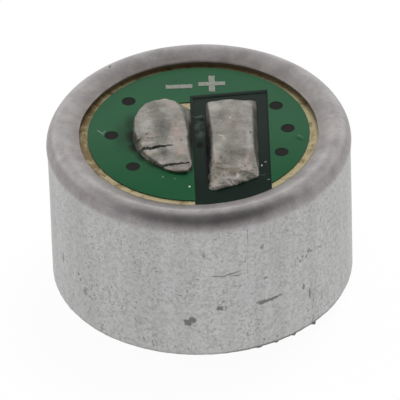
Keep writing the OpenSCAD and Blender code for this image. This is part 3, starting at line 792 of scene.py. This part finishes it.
def makeGroundSolder(material):
    centreX, centreY = groundSolder["landCentre"]
    foot = []
    for angle in groundSolder["footAngles"]:
        slumped = angle > groundSolder["slumpFrom"]
        reach = groundSolder["slumpRadius" if slumped else "landRadius"]
        turn = math.radians(angle)
        foot.append((centreX + reach * math.cos(turn), centreY + reach * math.sin(turn)))
    foot += groundSolder["footSide"]
    solder = raiseSolder("ground_solder_drop", foot, groundSolder["crown"], groundSolder["rounding"])
    for grain, depth in groundSolder["lumps"]:
        roughen(solder, grain, depth)
    for _, depth, end, path in groundSolder["cracks"]:
        sinkFront(solder, path, depth, end)
    for width, _, _, path in groundSolder["cracks"]:
        for phase in solderForm["crackPhases"]:
            cutCrack(solder, wander(path, phase), width)
    flattenFoot(solder, copperTop)
    finishPiece(solder, material, ["ground_solder"], smoothAngle=50)


def makeOutputSolder(material):
    crown, rounding = outputSolder["crown"], outputSolder["rounding"]
    solder = raiseSolder("output_solder_pillow", outputSolder["foot"], crown, rounding)
    for grain, depth in outputSolder["lumps"]:
        roughen(solder, grain, depth)
    roughen(solder, *outputSolder["endLumps"],
            lambda at: (outputSolder["endStart"] - at.y) / outputSolder["endRun"])
    flattenFoot(solder, copperTop)
    finishPiece(solder, material, ["output_solder"], smoothAngle=50)


# Polarity signs printed on the mask

signs = {
    "stroke": 0.2,
    "length": 0.86,
    "minusAt": (-0.58, 2.72),
    "plusAt": (0.48, 2.82),
    "ink": 0.012,
    "lumps": (0.06, 0.03),   # grain and depth of the ragged edge
    "cuts": 5,
}

leftRight = [(-1, 0, 0), (1, 0, 0)]
frontBack = [(0, -1, 0), (0, 1, 0)]


def makeInk():
    # screen-printed epoxy ink: matt off-white, thin and broken where the mesh showed through
    material, tree, shader, place = startMaterial("screen_ink", Roughness=0.7)
    patchy = addNode(tree, "TexNoise", {"Scale": perMm(0.06), "Detail": 3}, {"Vector": place})
    covered = addNode(tree, "MapRange", {"From Min": 0.3, "From Max": 0.55}, {"Value": patchy})
    tone = addNode(tree, "Mix", {6: colour("#616b62"), 7: colour("#8b8c83")}, {0: covered})
    linkSurface(tree, shader, tone, patchy, strength=0.4, depth=0.006)
    return material


def makeSign(name, at, bars, material):
    # a square of ink, drawn out to each side in turn
    clearSelection()
    half, stroke, ink = signs["length"] / 2, signs["stroke"] / 2, signs["ink"] / 2
    bpy.ops.mesh.primitive_cube_add(
        size=2, location=(at[0], at[1], maskTop + ink), scale=(stroke, stroke, ink))
    sign = bpy.context.object
    sign.name = name
    bpy.ops.object.transform_apply(location=False, rotation=False, scale=True)
    for direction in bars:
        selectNothing("FACE")
        facing = [face for face in sign.data.polygons if face.normal.dot(Vector(direction)) > 0.9]
        nearest = min(facing, key=lambda face: face.area + abs(face.center.x) + abs(face.center.y))
        nearest.select = True
        bpy.ops.object.mode_set(mode="EDIT")
        step = Vector(direction) * (half - stroke)
        bpy.ops.mesh.extrude_region_move(TRANSFORM_OT_translate={"value": step})
    bpy.ops.mesh.select_all(action="SELECT")
    bpy.ops.mesh.subdivide(number_cuts=signs["cuts"])
    bpy.ops.object.mode_set(mode="OBJECT")
    bpy.ops.object.transform_apply(location=True, rotation=False, scale=False)
    roughen(sign, *signs["lumps"])
    finishPiece(sign, material)


# Finishes of the CAD nodes

tarnishRun = (-2.2, -3.4)   # x where the tarnish at the left starts and where it is full


def makePlatedCopper():
    # thin gold-coloured plating on etched copper: satin, tarnished brown in patches, most at the left
    material, tree, shader, place = startMaterial("plated_copper", Metallic=0.85, Roughness=0.45)
    patches = addNode(tree, "TexNoise", {"Scale": perMm(0.35), "Detail": 5, "Roughness": 0.65},
                      {"Vector": place})
    fine = addNode(tree, "TexNoise", {"Scale": perMm(0.07), "Detail": 3}, {"Vector": place})
    tone = addNode(tree, "Mix", {6: colour("#aea17d"), 7: colour("#c8bb93")}, {0: fine})
    side = addNode(tree, "SeparateXYZ", {}, {0: place}).outputs[0]
    start, full = tarnishRun
    left = addNode(tree, "MapRange", {"From Min": start * mm, "From Max": full * mm, "To Max": 0.16},
                   {"Value": side})
    spread = addNode(tree, "Math", {"operation": "ADD"}, {0: patches, 1: left})
    tarnish = addNode(tree, "MapRange", {"From Min": 0.5, "From Max": 0.68, "To Max": 0.8},
                      {"Value": spread})
    coat = addNode(tree, "Mix", {7: colour("#6b5636")}, {0: tarnish, 6: tone})
    linkSurface(tree, shader, coat, fine, strength=0.3, depth=0.008)
    return material


maskMarks = {   # colour, raggedness, core; then x, y, half sizes, turn and strength of each mark
    # grey-green haze, partly painted glints of reflection on glossy flux
    "hazeAndGlint": ("#5d6a67", 2.4, 0.2, [
        (0.02, 1.12, 0.26, 0.07, 8, 0.5), (0.05, 0.15, 0.2, 0.16, 30, 0.4),
        (-0.02, 0.62, 0.14, 0.3, -20, 0.35), (2.0, -2.1, 0.15, 0.04, 10, 0.3),
    ]),
    # painted shadow round the ground solder, with flux residue and the dark strip between the solders
    "fluxAndShade": ("#191f17", 0.15, 0.3, [
        (-2.35, 0.1, 0.45, 1.0, 0, 0.35), (-2.16, 0.75, 0.3, 0.65, -4, 0.6),
        (-2.12, 0.1, 0.36, 0.65, 6, 0.9), (-2.02, -0.5, 0.3, 0.45, 28, 1), (-1.75, -0.98, 0.28, 0.4, 36, 1),
        (-1.45, -1.4, 0.22, 0.4, 48, 0.75), (-0.21, 0.05, 0.13, 1.75, 0, 0.9),
    ]),
    # black spots, and a painted shadow strip beside the output solder
    "black": ("#070908", 0.8, 0.5, [
        (0.04, -0.42, 0.13, 0.2, 0, 0.95), (0.12, 0.95, 0.12, 0.09, -20, 0.8),
        (0.24, -0.9, 0.08, 1.6, 0, 0.7),
    ]),
    "scribble": ("#93a898", 0.5, 0.6, [
        (-3.16, 0.42, 0.16, 0.018, -48, 0.6), (-3.04, 0.38, 0.14, 0.018, 50, 0.5),
        (-3.0, 0.24, 0.12, 0.016, -20, 0.5), (3.25, -0.15, 0.14, 0.014, -30, 0.4),
    ]),
    "smudge": ("#123321", 0.8, 0.3, [(3.22, -0.33, 0.2, 0.06, -36, 0.7), (-2.62, -0.65, 0.1, 0.05, 20, 0.4)]),
    "speck": ("#cfd6cc", 0.4, 0.5, [
        (-0.34, -2.65, 0.035, 0.05, 0, 0.9), (-1.18, -2.09, 0.025, 0.035, 0, 0.4),
        (1.98, -1.6, 0.03, 0.06, 0, 0.6), (2.1, -1.42, 0.04, 0.03, 0, 0.5),
        (-0.8, -2.2, 0.02, 0.03, 0, 0.35), (2.18, -2.35, 0.05, 0.02, 0, 0.4),
    ]),
}

darkBorders = [   # direction across the border, where the dark part ends and where the green one is full
    ((1, 0.0143, 0), -0.21, -0.22),   # left, leaning over
    ((-0.086, 1, 0), 2.22, 2.23),     # back
    ((1, 0, 0), 2.26, 2.268),         # right
]

maskHeights = {   # where each starts and where it is full
    "raised": (copperTop + 0.005, copperTop + 0.012),
    "overGap": (copperTop - 0.008, copperTop - 0.004),
    "underTop": (maskTop - 0.003, maskTop - 0.007),
}

dustRun = (-2.6, 0.4)   # y from the clean front to the dusty back


def makeSolderMask():
    # green photo-imaged mask: glossy, clear over copper, near black where it lies lower on laminate,
    # greyed by dust at the back
    # painted in the marks: shadow round the ground solder, glints in the dark part and a shadow strip by the
    # output solder
    material, tree, shader, place = startMaterial("solder_mask", Roughness=0.32, Specular_IOR_Level=0.06)
    clouds = addNode(tree, "TexNoise", {"Scale": perMm(1.1), "Detail": 4}, {"Vector": place})
    axes = addNode(tree, "SeparateXYZ", {}, {0: place})
    start, full = dustRun
    dust = addNode(tree, "MapRange", {"From Min": start * mm, "From Max": full * mm, "To Max": 0.1},
                   {"Value": axes.outputs[1]})
    parts = []
    for low, high, dusty, share in (
            ("#16482b", "#1b5433", "#7d8f83", 1),
            ("#071710", "#0f2019", "#888c8a", 0.5)):
        tone = addNode(tree, "Mix", {6: colour(low), 7: colour(high)}, {0: clouds})
        film = addNode(tree, "Math", {"operation": "MULTIPLY", 1: share}, {0: dust})
        parts.append(addNode(tree, "Mix", {7: colour(dusty)}, {0: film, 6: tone}))
    green, dark = parts
    zone = {}
    for name, (start, full) in maskHeights.items():
        zone[name] = addNode(tree, "MapRange", {"From Min": start * mm, "From Max": full * mm},
                             {"Value": axes.outputs[2]})
    # the dark part runs on beside and behind the gap, up to its borders
    beyond = []
    for direction, start, full in darkBorders:
        across = addNode(tree, "VectorMath", {"operation": "DOT_PRODUCT", 1: direction}, {0: place})
        beyond.append(addNode(tree, "MapRange", {"From Min": start * mm, "From Max": full * mm},
                              {"Value": across}))
    left, back, right = beyond
    shown = addNode(tree, "Math", {"operation": "MAXIMUM"}, {0: left, 1: back})
    shown = addNode(tree, "Math", {"operation": "MAXIMUM"}, {0: shown, 1: right})
    shown = addNode(tree, "Math", {"operation": "MINIMUM"}, {0: shown, 1: zone["raised"]})
    # painted light: the step down to the laminate is lightened, so that its shade doesn't show
    step = addNode(tree, "Math", {"operation": "MULTIPLY"}, {0: zone["overGap"], 1: zone["underTop"]})
    dark = addNode(tree, "Mix", {7: colour("#62726a")}, {0: step, 6: dark})
    coat = addNode(tree, "Mix", {}, {0: shown, 6: dark, 7: green})
    coat = paintMarks(tree, place, coat, maskMarks)
    peel = addNode(tree, "TexNoise", {"Scale": perMm(0.3), "Detail": 3}, {"Vector": place})
    linkSurface(tree, shader, coat, peel, strength=0.25, depth=0.01)
    return material


def makePlain(name, dark, light, grain, sockets):
    # two tones of one finish, mottled and bumped at the grain's size
    material, tree, shader, place = startMaterial(name, **sockets)
    noise = addNode(tree, "TexNoise", {"Scale": perMm(grain), "Detail": 4}, {"Vector": place})
    tone = addNode(tree, "Mix", {6: colour(dark), 7: colour(light)}, {0: noise})
    linkSurface(tree, shader, tone, noise, strength=0.2, depth=0.01)
    return material


def dressNodes(material, *names):
    for name in names:
        nodes[name].data.materials.clear()
        nodes[name].data.materials.append(material)


plainFinishes = [   # name, two tones, grain in mm, sockets, the nodes that wear it
    # epoxy ink pressed into the vias: near black, with little shine
    ("via_ink", "#151714", "#20221d", 0.12, {"Roughness": 0.5, "Specular_IOR_Level": 0.1}, ["via_plugs"]),
    # plated-through copper: warm red metal
    ("bare_copper", "#8f5a34", "#b87b4b", 0.1, {"Metallic": 1, "Roughness": 0.4},
     ["via_barrels", "output_via"]),
    # glass cloth in epoxy: yellowish and half matt
    ("glass_epoxy", "#a89c68", "#bdb282", 0.15, {"Roughness": 0.55}, ["circuit_board"]),
    # rolled and punched brass: yellow metal
    ("brass_sheet", "#b8954a", "#cbab62", 0.2, {"Metallic": 1, "Roughness": 0.35},
     ["diaphragm_ring", "back_plate"]),
    # polyester film with vapoured metal: a taut mirror
    ("metallised_film", "#c8c8cc", "#dcdce0", 0.4, {"Metallic": 1, "Roughness": 0.15}, ["diaphragm"]),
    # punched polyester: milky
    ("spacer_film", "#ddd8c6", "#ece8d8", 0.3, {"Roughness": 0.4}, ["spacer"]),
    # fluoropolymer film laid on the plate: pale and smooth
    ("electret_film", "#d5dde2", "#e4eaee", 0.3, {"Roughness": 0.3}, ["electret_film"]),
    # moulded plastic: cream with a soft shine
    ("moulded_holder", "#e3dfd2", "#efebe0", 0.25, {"Roughness": 0.45}, ["plate_holder"]),
    # nickel and tin plating: cool bright metal
    ("nickel_plate", "#a9abad", "#c3c5c7", 0.15, {"Metallic": 1, "Roughness": 0.3},
     ["gate_ring", "jfet_leads", "capacitor_end_caps"]),
    # transfer-moulded epoxy: black and matt
    ("moulded_epoxy", "#1f1f22", "#2b2b2f", 0.08, {"Roughness": 0.6}, ["jfet_body"]),
    # fired ceramic: brown with a dull glaze
    ("fired_ceramic", "#a88c68", "#bda37f", 0.08, {"Roughness": 0.5}, ["capacitor_bodies"]),
]

makeCan()
makeFelt()
solder = makeSolder()
makeGroundSolder(solder)
makeOutputSolder(solder)
ink = makeInk()
makeSign("minus_sign", signs["minusAt"], leftRight, ink)
makeSign("plus_sign", signs["plusAt"], leftRight + frontBack, ink)

dressNodes(makePlatedCopper(), "ground_copper", "output_land", "gate_land", "inner_ground", "drain_copper")
dressNodes(makeSolderMask(), "solder_mask")
dressNodes(solder, "inner_solder_joints")
for name, dark, light, grain, sockets, dressed in plainFinishes:
    dressNodes(makePlain(name, dark, light, grain, sockets), *dressed)
print("CAD nodes dressed")


# Stage

stage = {
    "cameraElevation": 37.03,
    "cameraDistance": 250,
    "cameraRoll": -1.89,
    "cameraClip": 10,
    "lens": 699.3,
    "aimX": -0.024,
    "aimZ": 2.9,
    "floorSize": 1200,
    "floorWhite": 0.96,           # the rest of the floor's look keeps the shadow
    "darkElevation": 52,          # the unlit side of the room, behind and above the camera
    "darkSide": 0.08,             # a little to the right
    "darkSpread": 0.15,           # wider to both sides
    "darkRange": (0.48, 0.95),    # how squarely a direction faces it: where it starts and where it is full
    "darkLevel": 0.2,
    "ceilingRange": (0.48, 0.8),
    "ceilingLevel": 0.75,
    "keyAt": (50, 90, 220),
    "keyAim": (0, 0, 3),
    "keySize": 100,
    "keyPower": 0.33,
}


def makeFloor():
    # white paper: to the camera and in the metal all but plain white
    clearSelection()
    bpy.ops.mesh.primitive_plane_add(size=stage["floorSize"] * mm, location=(0, 0, 0))
    floor = bpy.context.object
    floor.name = "floor"
    material = bpy.data.materials.new("white_paper")
    material.use_nodes = True
    tree = material.node_tree
    tree.nodes.remove(tree.nodes["Principled BSDF"])
    paper = addNode(tree, "BsdfDiffuse", {"Color": colour("#f4f4f4")})
    white = addNode(tree, "Emission", {"Color": (1, 1, 1, 1), "Strength": 1})
    path = addNode(tree, "LightPath")
    seen = path.outputs["Is Camera Ray"]
    for ray in ("Is Glossy Ray", "Is Transmission Ray"):
        seen = addNode(tree, "Math", {"operation": "MAXIMUM"}, {0: seen, 1: path.outputs[ray]})
    share = addNode(tree, "Math", {"operation": "MULTIPLY", 1: stage["floorWhite"]}, {0: seen})
    mixed = addNode(tree, "MixShader", {}, {0: share, 1: paper, 2: white})
    linkTo(tree, tree.nodes["Material Output"], {"Surface": mixed})
    floor.data.materials.append(material)


def makeLight():
    # a white room with a grey ceiling and an unlit side, and one key lamp
    world = bpy.data.worlds.new("studio")
    bpy.context.scene.world = world
    world.use_nodes = True
    tree = world.node_tree
    tilt = math.radians(stage["darkElevation"])
    unlitSide = (stage["darkSide"], -math.cos(tilt), math.sin(tilt))
    direction = addNode(tree, "TexCoord").outputs["Generated"]
    axes = addNode(tree, "SeparateXYZ", {}, {0: direction})
    square = addNode(tree, "VectorMath", {"operation": "DOT_PRODUCT", 1: unlitSide}, {0: direction})
    spread = addNode(tree, "Math", {"operation": "MULTIPLY", 1: stage["darkSpread"]}, {0: axes.outputs[0]})
    facing = addNode(tree, "Math", {"operation": "MULTIPLY_ADD"},
                     {0: axes.outputs[0], 1: spread, 2: square})
    room = addNode(tree, "RGB").outputs[0]
    room.default_value = (1, 1, 1, 1)
    for value, kind in ((axes.outputs[2], "ceiling"), (facing, "dark")):
        start, full = stage[kind + "Range"]
        level = stage[kind + "Level"]
        share = addNode(tree, "MapRange", {
            "From Min": start, "From Max": full, "interpolation_type": "SMOOTHSTEP",
        }, {"Value": value})
        room = addNode(tree, "Mix", {7: (level, level, level, 1)}, {0: share, 6: room})
    linkTo(tree, tree.nodes["Background"], {"Color": room})

    light = bpy.data.lights.new("key", "AREA")
    light.shape = "DISK"
    light.size = stage["keySize"] * mm
    light.energy = stage["keyPower"]
    key = bpy.data.objects.new("key", light)
    key.location = Vector(stage["keyAt"]) * mm
    key.rotation_euler = (Vector(stage["keyAim"]) * mm - key.location).to_track_quat("-Z", "Y").to_euler()
    key.visible_glossy = False   # metal shows the room alone
    bpy.context.collection.objects.link(key)


def makeCamera():
    tilt = math.radians(stage["cameraElevation"])
    aim = Vector((stage["aimX"], 0, stage["aimZ"]))
    back = Vector((0, -math.cos(tilt), math.sin(tilt)))
    camera = bpy.data.objects.new("camera", bpy.data.cameras.new("camera"))
    camera.data.lens = stage["lens"]
    camera.data.clip_start = stage["cameraClip"] * mm
    tip = Matrix.Rotation(math.pi / 2 - tilt, 4, "X")
    roll = Matrix.Rotation(math.radians(stage["cameraRoll"]), 4, "Z")
    camera.matrix_world = Matrix.Translation((aim + back * stage["cameraDistance"]) * mm) @ tip @ roll
    bpy.context.collection.objects.link(camera)
    bpy.context.scene.camera = camera


makeFloor()
makeLight()
makeCamera()
bpy.context.scene.view_settings.view_transform = "Standard"
print("stage set")
